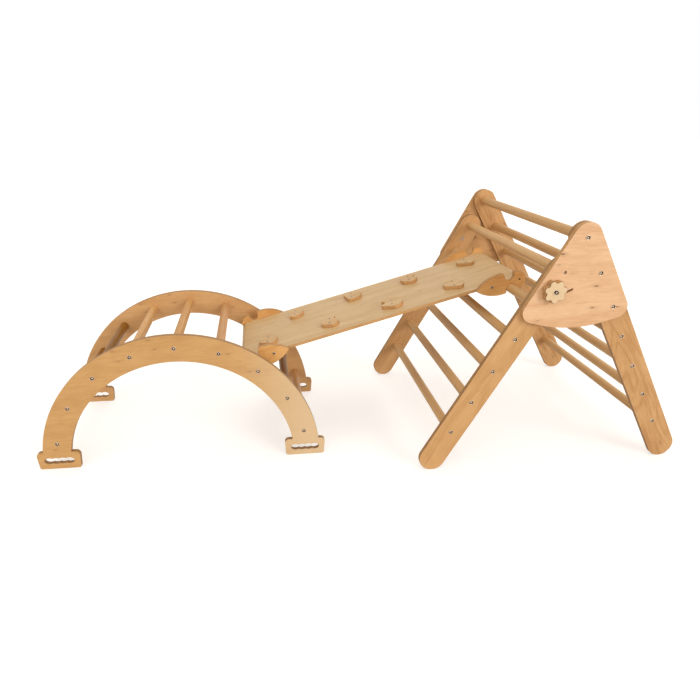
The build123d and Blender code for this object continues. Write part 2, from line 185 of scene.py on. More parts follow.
class WoodSettings(bpy.types.PropertyGroup):
    """Colours and edge sizes of the wooden pieces."""

    ladder_pale: pale_tone("Ladder", "rear arch panel and legs", 207, 161, 109)
    ladder_dark: dark_tone("Ladder", "rear arch panel and legs", 169, 118, 65)
    arch_pale: pale_tone("Arch", "the front arch panel", 203, 158, 102)
    arch_dark: dark_tone("Arch", "the front arch panel", 166, 115, 60)
    paler_foot: colour("Paler foot", "Veneer at the front arch panel's right foot", tone(213, 184, 145))
    hook_pale: pale_tone("Hook", "the hook plates", 228, 176, 110)
    hook_dark: dark_tone("Hook", "the hook plates", 188, 131, 70)
    plate_pale: pale_tone("Plate", "the side plates", 229, 189, 148)
    plate_dark: dark_tone("Plate", "the side plates", 202, 150, 106)
    board_pale: pale_tone("Board", "the ramp board", 210, 177, 130)
    board_dark: dark_tone("Board", "the ramp board", 180, 144, 95)
    hold_pale: pale_tone("Hold", "the climbing holds", 209, 176, 126)
    hold_dark: dark_tone("Hold", "the climbing holds", 188, 142, 91)
    rung_pale: pale_tone("Rung", "the ladders' rods", 218, 178, 125)
    rung_dark: dark_tone("Rung", "the ladders' rods", 184, 137, 82)
    gold_pale: pale_tone("Golden rod", "golden rods", 220, 174, 114)
    gold_dark: dark_tone("Golden rod", "golden rods", 178, 126, 68)
    red_pale: pale_tone("Red rod", "reddish rods", 208, 158, 104)
    red_dark: dark_tone("Red rod", "reddish rods", 156, 104, 58)
    # Brown rods: rung 2's own darker wood, and on rungs 3 and 8 painted shade where they lie in
    # shadow
    brown_pale: pale_tone("Brown rod", "brown rods", 154, 102, 22)
    brown_dark: dark_tone("Brown rod", "brown rods", 108, 68, 12)
    knob_pale: pale_tone("Knob", "the knobs", 225, 198, 161)
    knob_dark: dark_tone("Knob", "the knobs", 206, 172, 125)
    ply_pale: colour("Ply pale", "Layers cut along the grain", tone(228, 180, 120))
    ply_dark: colour("Ply dark", "Layers cut across the grain", tone(152, 102, 56))
    knot: colour("Knot", "Small pin knots in the veneer", tone(122, 74, 40))
    rim: colour("Rim", "Darkened rounding along cut edges", tone(60, 38, 16))
    edge_round: length("Edge round", "Sanded radius of cut edges", 0.002, high=0.01)
    hold_round: length("Hold round", "Sanded radius of the climbing holds", 0.002, high=0.01)
    ply_step: length("Layer", "Thickness of one plywood layer", 0.00136, high=0.01)
    board_t: length("Board", "Thickness of the ramp board, in five layers", 0.01, high=0.03)
    hold_t: length("Hold", "Thickness of the climbing holds, in five layers", 0.012, high=0.03)
    gloss: share("Roughness", "Roughness of the satin lacquer", 0.42)
    sheen: share("Shine", "Strength of the lacquer's reflection", 0.32)


class HardwareSettings(bpy.types.PropertyGroup):
    """Sizes and colours of bolts, screws and washers."""

    zinc: colour("Zinc", "Bolt heads and washers", tone(216, 194, 168))
    steel: colour("Steel", "Screw heads", tone(148, 140, 130))
    # Painted shade: the dark colour put inside sockets and screw crosses where shade falls, and
    # over the knob bolts' heads as a painted dark reflection
    shade: colour("Socket", "Inside of the sockets", tone(52, 26, 12))
    head_d: length("Bolt head", "Diameter of the bolt heads", 0.015)
    head_t: length("Bolt head height", "Height of the bolt heads", 0.0024)
    shank_d: length("Shank", "Diameter of the bolts", 0.006)
    panel_bolt: length("Panel bolt", "Length of the bolts through one panel", 0.0527)
    plate_bolt: length("Plate bolt", "Length of the bolts through plate and leg", 0.0677)
    leg_bolt: length("Leg bolt", "Length of the left ladder's bolts", 0.05)
    pivot_bolt: length("Pivot bolt", "Length of the sunk pivot bolts", 0.0598)
    sunk_gap: length("Sunk gap", "Room between a side plate and a sunk bolt head", 0.0003)
    socket_w: length("Socket", "Width of the hex sockets across flats", 0.0105)
    socket_t: length("Socket depth", "Depth of the sockets", 0.0016)
    glint: length("Socket centre", "Radius of the bright middle of the socket's bottom", 0.0026)
    pivot_d: length("Pivot head", "Diameter of the sunk pivot bolts", 0.009)
    pivot_t: length("Pivot head height", "Height of the sunk pivot bolts", 0.004)
    knob_head_d: length("Knob bolt head", "Diameter of the bolt heads in the knobs", 0.011)
    knob_head_t: length("Knob bolt height", "Height of the bolt heads in the knobs", 0.004)
    knob_socket_t: length("Knob socket", "Depth of the sockets in the knobs", 0.0024)
    hold_screw_d: length("Hold screw", "Diameter of the sunk screw heads", 0.007)
    hold_shank_d: length("Hold screw shank", "Diameter of the sunk screws", 0.0035)
    hold_screw_l: length("Hold screw length", "Length of the sunk screws", 0.019)
    edge_screw_d: length("Edge screw", "Diameter of the hook screw heads", 0.009)
    edge_screw_t: length("Edge screw height", "Height of the hook screw heads", 0.0018)
    edge_shank_d: length("Edge screw shank", "Diameter of the hook screws", 0.005)
    edge_screw_l: length("Edge screw length", "Length of the hook screws", 0.06)
    edge_screw_in: length("Edge screw place", "From a rung to the hook screw", 0.062)
    hold_pitch: length("Hold pitch", "Spacing of the holds along the ramp", 0.11)
    hold_row: length("Hold row", "From the ramp's middle line to a row of holds", 0.094)
    pair_across: length("Screw pair across", "Half the spacing of a hold's screws", 0.018)
    pair_along: length("Screw pair along", "How far one screw lies up the ramp", 0.002)


class KnobSettings(bpy.types.PropertyGroup):
    """Sizes of the clamping knobs."""

    lobes: IntProperty(name="Lobes", description="Number of lobes", default=7, min=3, max=12)
    turn: angle("Turn", "Direction of the first lobe in the front view", -90)
    radius: length("Radius", "Radius over the lobes", 0.035)
    lobe: length("Lobe", "Radius of each lobe", 0.0095)
    dip: length("Dip", "Radius of the hollow between two lobes", 0.0055)
    edge: length("Edge", "Rounding of the edges", 0.0026)


class StageSettings(bpy.types.PropertyGroup):
    """Camera, lamps and floor."""

    place: FloatVectorProperty(
        name="Camera",
        description="Where the camera stands",
        subtype="XYZ",
        unit="LENGTH",
        size=3,
        default=(-0.3221, -1.8519, 1.0631),
    )
    yaw: angle("Yaw", "Turn of the camera to the right", 6.86)
    pitch: angle("Pitch", "Tilt of the camera downwards", 23.59)
    roll: angle("Roll", "Turn of the camera about its view", -0.38)
    lens: FloatProperty(name="Lens", description="Focal length in mm", default=28.33, min=5)
    shift: FloatVectorProperty(
        name="Shift", description="Lens shift", size=2, default=(0.0372, 0.0124)
    )
    key: share("Key lamp", "Strength of the key lamp", 1.55, 20)
    key_turn: angle("Key turn", "How far right of the front the key lamp stands", 39)
    key_rise: angle("Key rise", "How high above the floor the key lamp stands", 20)
    key_width: angle("Key width", "Apparent width of the key lamp", 34)
    fill: share("Fill lamp", "Strength of the soft lamp at the left", 1.05, 20)
    fill_turn: angle("Fill turn", "How far right of the front the fill lamp stands", -38)
    fill_rise: angle("Fill rise", "How high above the floor the fill lamp stands", 25)
    fill_width: angle("Fill width", "Apparent width of the fill lamp", 60)
    top: share("Top lamp", "Strength of the soft lamp overhead", 0.93, 20)
    top_width: angle("Top width", "Apparent width of the lamp overhead", 60)
    back: share("Back lamp", "Strength of the soft lamp behind the set", 1.1, 20)
    back_turn: angle("Back turn", "How far right of the front the back lamp stands", 165)
    back_rise: angle("Back rise", "How high above the floor the back lamp stands", 6)
    back_width: angle("Back width", "Apparent width of the back lamp", 60)
    sky: share("Surroundings", "Light from all round", 0.42, 10)
    tint: colour("Surroundings tint", "Colour of the light from all round", (1.0, 0.9, 0.74))
    floor: colour("Floor", "Colour of the floor", (0.62, 0.6, 0.57))
    glow: share("Glow", "Brightness that the floor adds for the eye alone", 0.52)


# Node trees


def put(tree, kind, inputs=(), **settings):
    """Add a shader node, set its properties, then its sockets by name or number.

    A socket is linked, a colour gets full alpha, and any other value is set as it is.
    """
    made = tree.nodes.new("ShaderNode" + kind)
    for key, value in settings.items():
        setattr(made, key, value)
    for key, value in dict(inputs).items():
        if isinstance(value, bpy.types.NodeSocket):
            tree.links.new(value, made.inputs[key])
        else:
            made.inputs[key].default_value = (*value, 1.0) if isinstance(value, Color) else value
    return made


def maths(operation, a, b=0.0, c=0.0, clamp=False):
    """One math node in the first value's tree, its result returned."""
    sums = {0: a, 1: b, 2: c}
    return put(a.id_data, "Math", sums, operation=operation, use_clamp=clamp).outputs[0]


def times(a, b, plus=0.0, clamp=False):
    """Product of two values, with a third added."""
    return maths("MULTIPLY_ADD", a, b, plus, clamp)


def swing_of(value):
    """How far a value that runs from nought to one lies from its middle."""
    return maths("SUBTRACT", value, 0.5)


def spread(value, low, high, to_low=0.0, to_high=1.0):
    """Smooth step of a value from one range to another."""
    made = put(
        value.id_data,
        "MapRange",
        {"Value": value, "From Min": low, "From Max": high, "To Min": to_low, "To Max": to_high},
        interpolation_type="SMOOTHSTEP",
    )
    return made.outputs["Result"]


def blend(tree, factor, a, b, kind="MIX"):
    """Mix of two colours."""
    made = put(tree, "Mix", {0: factor, 6: a, 7: b}, data_type="RGBA", blend_type=kind)
    return made.outputs[2]


def joined(red, green, blue):
    """Colour of three values."""
    return put(red.id_data, "CombineColor", {0: red, 1: green, 2: blue}).outputs[0]


def noise(vector, scales, detail=2.0, rough=0.5, twist=0.0):
    """Noise stretched by a different scale along each axis."""
    lay = put(vector.id_data, "Mapping", {"Vector": vector, "Scale": scales}).outputs[0]
    grain = {"Scale": 1.0, "Detail": detail, "Roughness": rough, "Distortion": twist}
    return put(vector.id_data, "TexNoise", {"Vector": lay, **grain}).outputs[0]


WHITE, BLACK, BROWN = (1, 1, 1, 1), (0, 0, 0, 1), (0.1, 0.05, 0.02, 1)
ZERO = (0, 0, 0)
AMOUNTS = ("Contrast", "Figure", "Patches", "Knots")


def effect(name, **inputs):
    """Start a shared node group, its tree and its inputs returned.

    The default of an input tells its kind: a number, a vector of three or a colour of four parts.
    """
    tree = bpy.data.node_groups.new(name, "ShaderNodeTree")
    for label, default in inputs.items():
        kind = {1: "Float", 3: "Vector", 4: "Color"}[np.size(default)]
        made = tree.interface.new_socket(label, in_out="INPUT", socket_type="NodeSocket" + kind)
        made.default_value = default
    return tree, tree.nodes.new("NodeGroupInput").outputs


def wired(tree, **results):
    """End a shared node group with its results: one colour, and numbers for the rest."""
    for label in results:
        kind = "Color" if label == "Color" else "Float"
        tree.interface.new_socket(label, in_out="OUTPUT", socket_type="NodeSocket" + kind)
    way_out = tree.nodes.new("NodeGroupOutput").inputs
    for label, result in results.items():
        tree.links.new(result, way_out[label])
    return tree


@cache
def veneer_effect():
    """Rotary-cut birch face: the grain runs along X, across it along Z, and Y goes into the sheet.

    The darkness is a sum of noises stretched along X: broad bands, fibres a millimetre wide and
    short pores, with thin contour lines where the sine of a slow noise peaks. Cloudy patches lift
    or lower the tone, and a few cells hold a pin knot.
    """
    tones = {"Pale": WHITE, "Dark": BLACK, "Knot": BROWN}
    tree, way_in = effect("Birch veneer", Vector=ZERO, **tones, **dict.fromkeys(AMOUNTS, 1.0))
    where = way_in["Vector"]
    bands = noise(where, (2.4, 16, 26), 3, 0.55, 0.8)
    slow = noise(where, (1.7, 8, 11), 2, 0.5, 0.5)
    lines = maths("SINE", times(slow, 62.0))
    fibres = noise(where, (38, 120, 980), 2, 0.6)
    pores = spread(noise(where, (120, 200, 1700), 1, 0.5), 0.62, 0.74)
    dark = times(spread(bands, 0.34, 0.68), 0.34)
    figure = times(spread(lines, 0.1, 1.0), way_in["Figure"])
    dark = times(figure, 0.3, dark)
    dark = times(spread(fibres, 0.3, 0.75), 0.4, dark)
    dark = times(pores, 0.42, dark)
    dark = times(dark, way_in["Contrast"], clamp=True)
    face = blend(tree, dark, way_in["Pale"], way_in["Dark"])
    lift = times(swing_of(noise(where, (15, 12, 21), 3, 0.55, 0.4)), way_in["Patches"])
    lit = [times(lift, amount, 1.0) for amount in PATCH_TINT]
    face = blend(tree, 1.0, face, joined(*lit), "MULTIPLY")
    lay = {"Vector": where, "Scale": (10, 3, 30), "Rotation": (math.pi / 2, 0, 0)}
    cells = put(tree, "Mapping", lay).outputs[0]
    eye = put(tree, "TexVoronoi", {"Vector": cells, "Scale": 1.0}, voronoi_dimensions="2D")
    near = spread(eye.outputs["Distance"], 0.09, 0.02)
    halo = spread(eye.outputs["Distance"], 0.3, 0.05)
    near = times(halo, 0.22, near)
    few = times(spread(eye.outputs["Color"], 0.52, 0.86), way_in["Knots"])
    near = times(near, few, clamp=True)
    face = blend(tree, near, face, way_in["Knot"])
    relief = times(pores, -0.8, fibres)
    return wired(tree, Color=face, Height=relief, Rough=times(dark, 0.12))


@cache
def layers_effect():
    """Cut edge of plywood: stripes by depth along an axis, and where the surface is such an edge.

    Depth is the dot product of position and axis less the start, in layers. Odd layers show their
    end grain, which is darker, and a thin glue line lies between each two. The mask is one where
    the normal stands square to the axis, and the rim is one on the rounding beside the face.
    """
    sizes = {"Axis": (0, 1, 0), "Start": 0.0, "Layer": 0.001}
    tree, way_in = effect(
        "Plywood layers", Position=ZERO, Normal=ZERO, Pale=WHITE, Dark=BLACK, **sizes
    )

    def dot(a):
        """How far a vector reaches along the axis."""
        made = put(tree, "VectorMath", {0: a, 1: way_in["Axis"]}, operation="DOT_PRODUCT")
        return made.outputs["Value"]

    wobble = noise(way_in["Position"], (30, 30, 30), 1, 0.5)
    depth = maths("ABSOLUTE", dot(way_in["Position"]))
    depth = maths("SUBTRACT", depth, way_in["Start"])
    depth = maths("DIVIDE", depth, way_in["Layer"])
    depth = times(swing_of(wobble), 0.35, depth)
    swing = maths("PINGPONG", depth, 1.0)
    odd = spread(swing, 0.36, 0.64)
    glue = spread(maths("ABSOLUTE", swing_of(swing)), 0.12, 0.02)
    ends = noise(way_in["Position"], (520, 520, 520), 2, 0.6)
    mottle = noise(way_in["Position"], (26, 26, 26), 3, 0.6)
    dark = times(odd, 0.62, times(glue, 0.3))
    dark = times(spread(ends, 0.35, 0.7), 0.22, dark)
    dark = times(spread(mottle, 0.4, 0.7), 0.16, dark, clamp=True)
    cut = blend(tree, dark, way_in["Pale"], way_in["Dark"])
    square = maths("ABSOLUTE", dot(way_in["Normal"]))
    inside, outside = spread(square, 0.98, 0.84), spread(square, 0.1, 0.5)
    rim = times(inside, outside)
    return wired(tree, Color=cut, Mask=spread(square, 0.86, 0.62), Rim=rim)


@cache
def rod_effect():
    """Turned rod of solid wood with its grain along Y.

    Growth layers are a sine of the distance across the rod, bent by a slow noise. Fibres are a
    noise stretched along Y, and short dark rays are the peaks of another.
    """
    tree, way_in = effect("Rod grain", Vector=ZERO, Pale=WHITE, Dark=BLACK)
    where = way_in["Vector"]
    drift = noise(where, (9, 1.6, 9), 2, 0.5, 0.3)
    apart = put(tree, "SeparateXYZ", {0: where}).outputs
    across = times(apart[2], 0.45, apart[0])
    phase = times(drift, 26.0, times(across, 1150.0))
    rings = times(maths("SINE", phase), 0.5, 0.5)
    fibres = noise(where, (720, 14, 720), 3, 0.6)
    tint = noise(where, (11, 0.9, 11), 2, 0.5)
    rays = spread(noise(where, (1300, 170, 1300), 1, 0.5), 0.64, 0.74)
    dark = times(spread(rings, 0.2, 1.0), 0.3)
    dark = times(spread(fibres, 0.3, 0.74), 0.34, dark)
    dark = times(spread(tint, 0.3, 0.7), 0.42, dark)
    dark = times(rays, 0.32, dark, clamp=True)
    grain = blend(tree, dark, way_in["Pale"], way_in["Dark"])
    relief = times(rays, -0.6, fibres)
    return wired(tree, Color=grain, Height=relief, Rough=times(dark, 0.12))


@cache
def handled_effect():
    """Uneven lacquer: slow smudges and a fine mottle, as a roughness about a middle value."""
    tree, way_in = effect("Handled lacquer", Vector=ZERO, Middle=0.4)
    slow = noise(way_in["Vector"], (8, 8, 8), 4, 0.6, 0.5)
    fine = noise(way_in["Vector"], (130, 130, 130), 2, 0.5)
    both = times(fine, 0.35, times(slow, 0.65))
    return wired(tree, Rough=times(swing_of(both), 0.32, way_in["Middle"]))


@cache
def plated_effect():
    """Plated steel: cloudy tone and fine scratches, as a colour factor, roughness and height."""
    tree, way_in = effect("Plated steel", Vector=ZERO, Metal=WHITE, Middle=0.3)
    clouds = noise(way_in["Vector"], (240, 240, 240), 3, 0.6)
    marks = noise(way_in["Vector"], (900, 2600, 900), 2, 0.6)
    lit = joined(*[spread(clouds, 0.3, 0.7, 0.82, 1.0)] * 3)
    shade = blend(tree, 1.0, way_in["Metal"], lit, "MULTIPLY")
    rough = times(swing_of(marks), 0.3, way_in["Middle"])
    return wired(tree, Color=shade, Rough=rough, Height=marks)


def use(tree, group, **inputs):
    """Place a shared effect in a material with its own values."""
    return put(tree, "Group", inputs, node_tree=group).outputs


def finish_tree(name):
    """A new material with one Principled shader, its node tree and object coordinates."""
    made = bpy.data.materials.new(name)
    made.use_nodes = True
    tree = made.node_tree
    return made, tree, tree.nodes["Principled BSDF"], put(tree, "TexCoord").outputs


def dress(tree, shader, face, rough, height, strength, distance):
    """Wire a colour, a roughness and a relief into a material's shader."""
    tree.links.new(face, shader.inputs["Base Color"])
    tree.links.new(rough, shader.inputs["Roughness"])
    bump = put(tree, "Bump", {"Strength": strength, "Distance": distance, "Height": height})
    tree.links.new(bump.outputs[0], shader.inputs["Normal"])


def lacquer(tree, shader, place):
    """Set the lacquer's shine and return its uneven roughness."""
    s = bpy.context.scene.climb_wood
    shader.inputs["Specular IOR Level"].default_value = s.sheen
    return use(tree, handled_effect(), Vector=place["Object"], Middle=s.gloss)["Rough"]


def pale_and_dark(wood):
    """The two tones that the settings hold for a wood."""
    s = bpy.context.scene.climb_wood
    return {"Pale": getattr(s, wood + "_pale"), "Dark": getattr(s, wood + "_dark")}


def plywood(name, wood, turn, start, amounts, burnt, layer=None, paling=None):
    """Lacquered birch plywood, its grain at an angle in the side view and its layers on the edges.

    The amounts are those of contrast, figure, patches and knots. The saw burns the rounding and
    the whole edge by the two burnt shares. A sheet that is given its layers' thickness lies in
    the ramp's plane, and the others stand in side view planes. Paling is the stretch along X where
    the face turns to the paler foot tone.
    """
    s = bpy.context.scene.climb_wood
    made, tree, shader, place = finish_tree(name)
    grain = put(tree, "Mapping", {"Vector": place["Object"], "Rotation": (0, turn, 0)}).outputs[0]
    if layer:
        tilt = put(tree, "Mapping", {"Vector": grain, "Rotation": (math.pi / 2, 0, 0)})
        grain = tilt.outputs[0]
    looks = dict(zip(AMOUNTS, amounts))
    face = use(tree, veneer_effect(), Vector=grain, Knot=s.knot, **pale_and_dark(wood), **looks)
    edge = use(
        tree,
        layers_effect(),
        Position=place["Object"],
        Normal=place["Normal"],
        Axis=RAMP_UP if layer else Vector((0, 1, 0)),
        Start=start,
        Layer=layer or s.ply_step,
        **pale_and_dark("ply"),
    )
    sheet = face["Color"]
    if paling:
        along = put(tree, "SeparateXYZ", {0: place["Object"]}).outputs[0]
        sheet = blend(tree, spread(along, *paling, 0.0, 0.85), sheet, s.paler_foot)
    mixed = blend(tree, edge["Mask"], sheet, edge["Color"])
    scorch = times(edge["Rim"], burnt[0])
    scorch = times(edge["Mask"], burnt[1], scorch, clamp=True)
    mixed = blend(tree, scorch, mixed, s.rim)
    rough = maths("ADD", lacquer(tree, shader, place), face["Rough"])
    rough = times(edge["Mask"], 0.14, rough)
    dress(tree, shader, mixed, rough, face["Height"], 0.35, 0.0002)
    return made


def rod_wood(name, wood):
    """Lacquered solid wood with its grain along Y."""
    made, tree, shader, place = finish_tree(name)
    grain = use(tree, rod_effect(), Vector=place["Object"], **pale_and_dark(wood))
    rough = maths("ADD", lacquer(tree, shader, place), grain["Rough"])
    dress(tree, shader, grain["Color"], rough, grain["Height"], 0.4, 0.0002)
    return made


def metal(name, rgb, rough):
    """Plated steel."""
    made, tree, shader, place = finish_tree(name)
    shader.inputs["Metallic"].default_value = 1.0
    look = use(tree, plated_effect(), Vector=place["Object"], Metal=rgb, Middle=rough)
    dress(tree, shader, look["Color"], look["Rough"], look["Height"], 0.12, 0.0001)
    return made


# Standing plywood: its wood, the node whose inner face starts the layers, the grain's angle, the
# amounts of contrast, figure, patches and knots, the burnt shares and where it turns paler
ARCH_PLY = ("arch_panel_rear", ARCH_TURN, (0.6, 0.5, 0.6, 0.5), (1.0, 0.42))
PLATE_PLY = ("side_plate_rear", PLATE_TURN)
PANELS = {
    "front arch ply": ("arch", *ARCH_PLY, None, PALING),
    "arch ply": ("ladder", *ARCH_PLY),
    "left leg ply": ("ladder", "left_leg_rear", LEFT_TURN, (0.65, 0.7, 0.7, 0.5), (1.0, 0.42)),
    "right leg ply": ("ladder", "right_leg_rear", RIGHT_TURN, (0.95, 1.0, 0.8, 0.5), (1.0, 0.42)),
    "plate ply": ("plate", *PLATE_PLY, (1.1, 0.15, 0.6, 1.0), (1.0, 0.05)),
    "golden plate ply": ("ladder", *PLATE_PLY, (0.7, 0.4, 0.5, 0.6), (1.0, 0.05)),
    "hook ply": ("hook", "hook_arch_rear", RAMP_TURN, (0.9, 0.8, 0.6, 0.0), (1.0, 0.16)),
    "knob wood": ("knob", "knob_rear", KNOB_TURN, (0.6, 0.5, 0.3, 0.0), (0.7, 0.1)),
}
# Plywood that lies on the ramp: its wood, where its layers start above the board's middle in
# thicknesses of the board, its amounts and its burnt shares
SHEETS = {
    "board ply": ("board", -0.5, (0.8, 0.2, 0.5, 0.3), (0.1, 0.08)),
    "hold ply": ("hold", 0.5, (0.9, 1.0, 0.8, 0.0), (0.6, 0.0)),
}
SHEET_LAYERS = 5
RODS = {
    "rod wood": "rung",
    "golden rod wood": "gold",
    "red rod wood": "red",
    "brown rod wood": "brown",
}
METALS = {
    "bolt zinc": ("zinc", 0.22),
    "screw steel": ("steel", 0.36),
    "painted socket shade": ("shade", 0.6),
}
# Bolts and screws take their plating first and the painted socket shade second, in the rows that
# their profiles name
BOLT_LOOKS = ["bolt zinc", "painted socket shade"]
SCREW_LOOKS = ["screw steel", "painted socket shade"]


@cache
def finish(name):
    """The material of that name, made when it is first asked for."""
    s, h = bpy.context.scene.climb_wood, bpy.context.scene.climb_hardware
    if name in PANELS:
        wood, node, turn, *rest = PANELS[name]
        return plywood(name, wood, turn, reach(node)[0], *rest)
    if name in RODS:
        return rod_wood(name, RODS[name])
    if name in METALS:
        plating, rough = METALS[name]
        return metal(name, getattr(h, plating), rough)
    wood, start, amounts, burnt = SHEETS[name]
    level = BOARD_LEVEL + start * s.board_t
    layer = getattr(s, wood + "_t") / SHEET_LAYERS
    return plywood(name, wood, RAMP_TURN, level, amounts, burnt, layer)


# Meshes


def body_of(node):
    """Name of the CAD body that a node belongs to."""
    return NODES[node]["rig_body"]


def place_in_scene(name, data):
    """Link a mesh, a lamp or a camera to the scene as an object."""
    made = bpy.data.objects.new(name, data)
    bpy.context.scene.collection.objects.link(made)
    return made


def new_piece(name, mesh, materials, node_names):
    """Link a mesh as a piece that stands for CAD nodes and rides on their body."""
    piece = place_in_scene(name, mesh)
    for label in materials:
        mesh.materials.append(finish(label))
    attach(piece, body_of(node_names[0]))
    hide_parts(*node_names)
    return piece


def eased_copy(node, look, radius=None, segments=3):
    """A CAD node's own shape with its cut edges rounded.

    Its loose triangles are merged, those in one plane are joined to larger faces, and a bevel
    modifier rounds each edge that turns by more than the crease, by the common radius unless
    another is given.
    """
    mesh = bpy.data.meshes.new(node + "_eased")
    work = bmesh.new()
    work.from_mesh(NODES[node].data)
    bmesh.ops.remove_doubles(work, verts=work.verts, dist=MERGE)
    bmesh.ops.dissolve_limit(work, angle_limit=FLAT, verts=work.verts, edges=work.edges)
    work.to_mesh(mesh)
    work.free()
    mesh.polygons.foreach_set("use_smooth", np.ones(len(mesh.polygons), bool))
    mesh.set_sharp_from_angle(angle=CREASE)
    piece = new_piece(node + "_eased", mesh, [look], [node])
    bevel = piece.modifiers.new("Sanded edge", "BEVEL")
    bevel.width = radius or bpy.context.scene.climb_wood.edge_round
    bevel.segments = segments
    bevel.limit_method = "ANGLE"
    bevel.angle_limit = CREASE
    bevel.harden_normals = True
    return piece


def hexagon(angles):
    """Radius of a hexagon of half width one over the angle."""
    step = math.pi / 3
    return 1 / np.cos(np.mod(angles, step) - step / 2)


def cross(angles):
    """Radius of a four-armed cross over the angle, arm length one and arm half width 0.3."""
    thin = np.minimum(np.abs(np.sin(angles)), np.abs(np.cos(angles)))
    return np.minimum(1.0, 0.3 / np.maximum(thin, 1e-6))


def ring_points(radius, heights, angles):
    """Rings of points about Z, each with its row of radii and its height."""
    parts = (radius * np.cos(angles), radius * np.sin(angles), heights)
    return np.stack(np.broadcast_arrays(*parts), axis=-1).reshape(-1, 3)


def ring_faces(steps, around, bands):
    """Quads of the bands between each ring and the next, the last ring followed by the first."""
    row, column = np.meshgrid(np.arange(bands), np.arange(around), indexing="ij")
    row, below = row * around, (row + 1) % steps * around
    after = (column + 1) % around
    corners = (row + column, row + after, below + after, below + column)
    return np.stack(corners, axis=-1).reshape(-1, 4)


def shaded_mesh(name, points, faces, crease):
    """Mesh of points and faces, smooth but where it turns by more than the crease's degrees."""
    mesh = bpy.data.meshes.new(name)
    mesh.from_pydata(points.tolist(), [], faces)
    mesh.polygons.foreach_set("use_smooth", np.ones(len(faces), bool))
    mesh.set_sharp_from_angle(angle=math.radians(crease))
    mesh.update()
    return mesh


def turned(name, profile, places, outline=hexagon, around=36, painted_shade_rows=(0, 0)):
    """Mesh of a turned shape at several places.

    Point (i, j) of one copy lies at angle 2 pi j / around, at height z_i along its axis, and at
    radius r_i (1 - s_i + s_i f(angle)), where f is the outline of the socket and s_i its share.
    Both ends of the profile close in one face. The painted shade rows, counted from the profile's
    end, take the second material: a dark colour painted where shade falls in a socket or a cross.
    """
    radius, heights, socket = np.array(profile, float).T[:, :, None]
    angles = np.arange(around) * (2 * math.pi / around)
    radius = radius * (1 - socket + socket * outline(angles))
    local = ring_points(radius, heights, angles)
    turns = np.array([matrix.to_3x3() for matrix in places])
    shifts = np.array([matrix.to_translation() for matrix in places])
    points = (np.einsum("pij,vj->pvi", turns, local) + shifts[:, None, :]).reshape(-1, 3)
    bands = len(profile) - 1
    quads = ring_faces(bands + 1, around, bands)
    first, last = np.arange(around)[::-1], bands * around + np.arange(around)
    faces = []
    for base in range(0, len(points), len(local)):
        faces += (quads + base).tolist() + [(first + base).tolist(), (last + base).tolist()]
    # Faces in the painted shade rows take the painted socket shade, and so does the end face when
    # those rows run to the end
    low, high = painted_shade_rows
    row = np.repeat(np.arange(bands), around) - bands - 1
    dark = [*((row >= low) & (row < high)), False, low < 0 and high == 0]
    mesh = shaded_mesh(name, points, faces, 35)
    mesh.polygons.foreach_set("material_index", np.tile(np.array(dark, int), len(places)))
    return mesh


def outward(spot, side, y, turn=0.0):
    """Placing of a turned shape on a side face: its axis points to the front (-1) or rear (1)."""
    lie = Matrix.Rotation(math.radians(90 if side < 0 else -90), 4, "X")
    return Matrix.Translation((spot.x, side * y, spot.z)) @ lie @ Matrix.Rotation(turn, 4, "Z")


def dome_head(d, t, shank, h, socket_t):
    """Profile of a domed bolt head on its shank, with a socket sunk into it.

    The shank's end is eased. The dome's height falls with a power of the radius, from the full
    height at a flat ring round the socket to a third of it at the rim. The socket has a small lip,
    and the middle of its bottom is a little deeper.
    """
    tip, ease, point, lip, power = 0.0004, 0.0005, 0.0008, 0.0002, 2.2
    r, thin, rim, socket = d / 2, h.shank_d / 2, t * 0.3, min(h.socket_w, d * 0.76) / 2
    ring, shoulder, bottom = socket * 1.25, r * 0.98, t - socket_t
    rows = [(tip, -shank, 0), (thin - ease, -shank, 0), (thin, point - shank, 0)]
    rows += [(thin, 0, 0), (r, 0, 0), (r, rim * 0.8, 0)]
    for part in np.linspace(1, 0, 6):
        rows.append((ring + (shoulder - ring) * part, t - (t - rim) * part**power, 0))
    rows += [(socket * 1.08, t, 1), (socket, t - lip, 1), (socket * 0.97, bottom, 1)]
    # The socket's wall and its bottom ring are the rows that take painted shade, and the middle of
    # the bottom stays plain zinc
    return rows + [(h.glint, bottom - lip / 2, 0), (MIDDLE, bottom, 0)]


def washer_disc(r, bore, thick):
    """Profile of a washer from its bore over the eased rim, both bore ends closed by a face."""
    burr, ease, outer_ease = 0.0001, 0.0003, 0.0005
    rows = [(bore, burr, 0), (bore + 2 * burr, 0, 0), (r - ease, 0, 0), (r, ease, 0)]
    rows += [(r, thick - outer_ease, 0), (r - outer_ease, thick, 0)]
    return rows + [(bore + ease, thick, 0)]


def sunk_screw(h):
    """Profile of a sunk screw: a pointed shank, a cone up to the face and a cross cut into it.

    The cross has a small lip, falls to its wall's foot and then gently to its middle.
    """
    point, brim, ease, lip, foot, middle = 0.0025, 0.00015, 0.0002, 0.0001, 0.0012, 0.0018
    r, thin, deep = h.hold_screw_d / 2, h.hold_shank_d / 2, -h.hold_screw_l
    rows = [(MIDDLE, deep, 0), (thin, deep + point, 0), (thin, thin - r, 0), (r, -brim, 0)]
    rows += [(r - ease, 0, 0), (r * 0.75, 0, 0), (r * 0.66, -lip, 1)]
    return rows + [(r * 0.56, -foot, 1), (CROSS_MIDDLE, -middle, 1)]


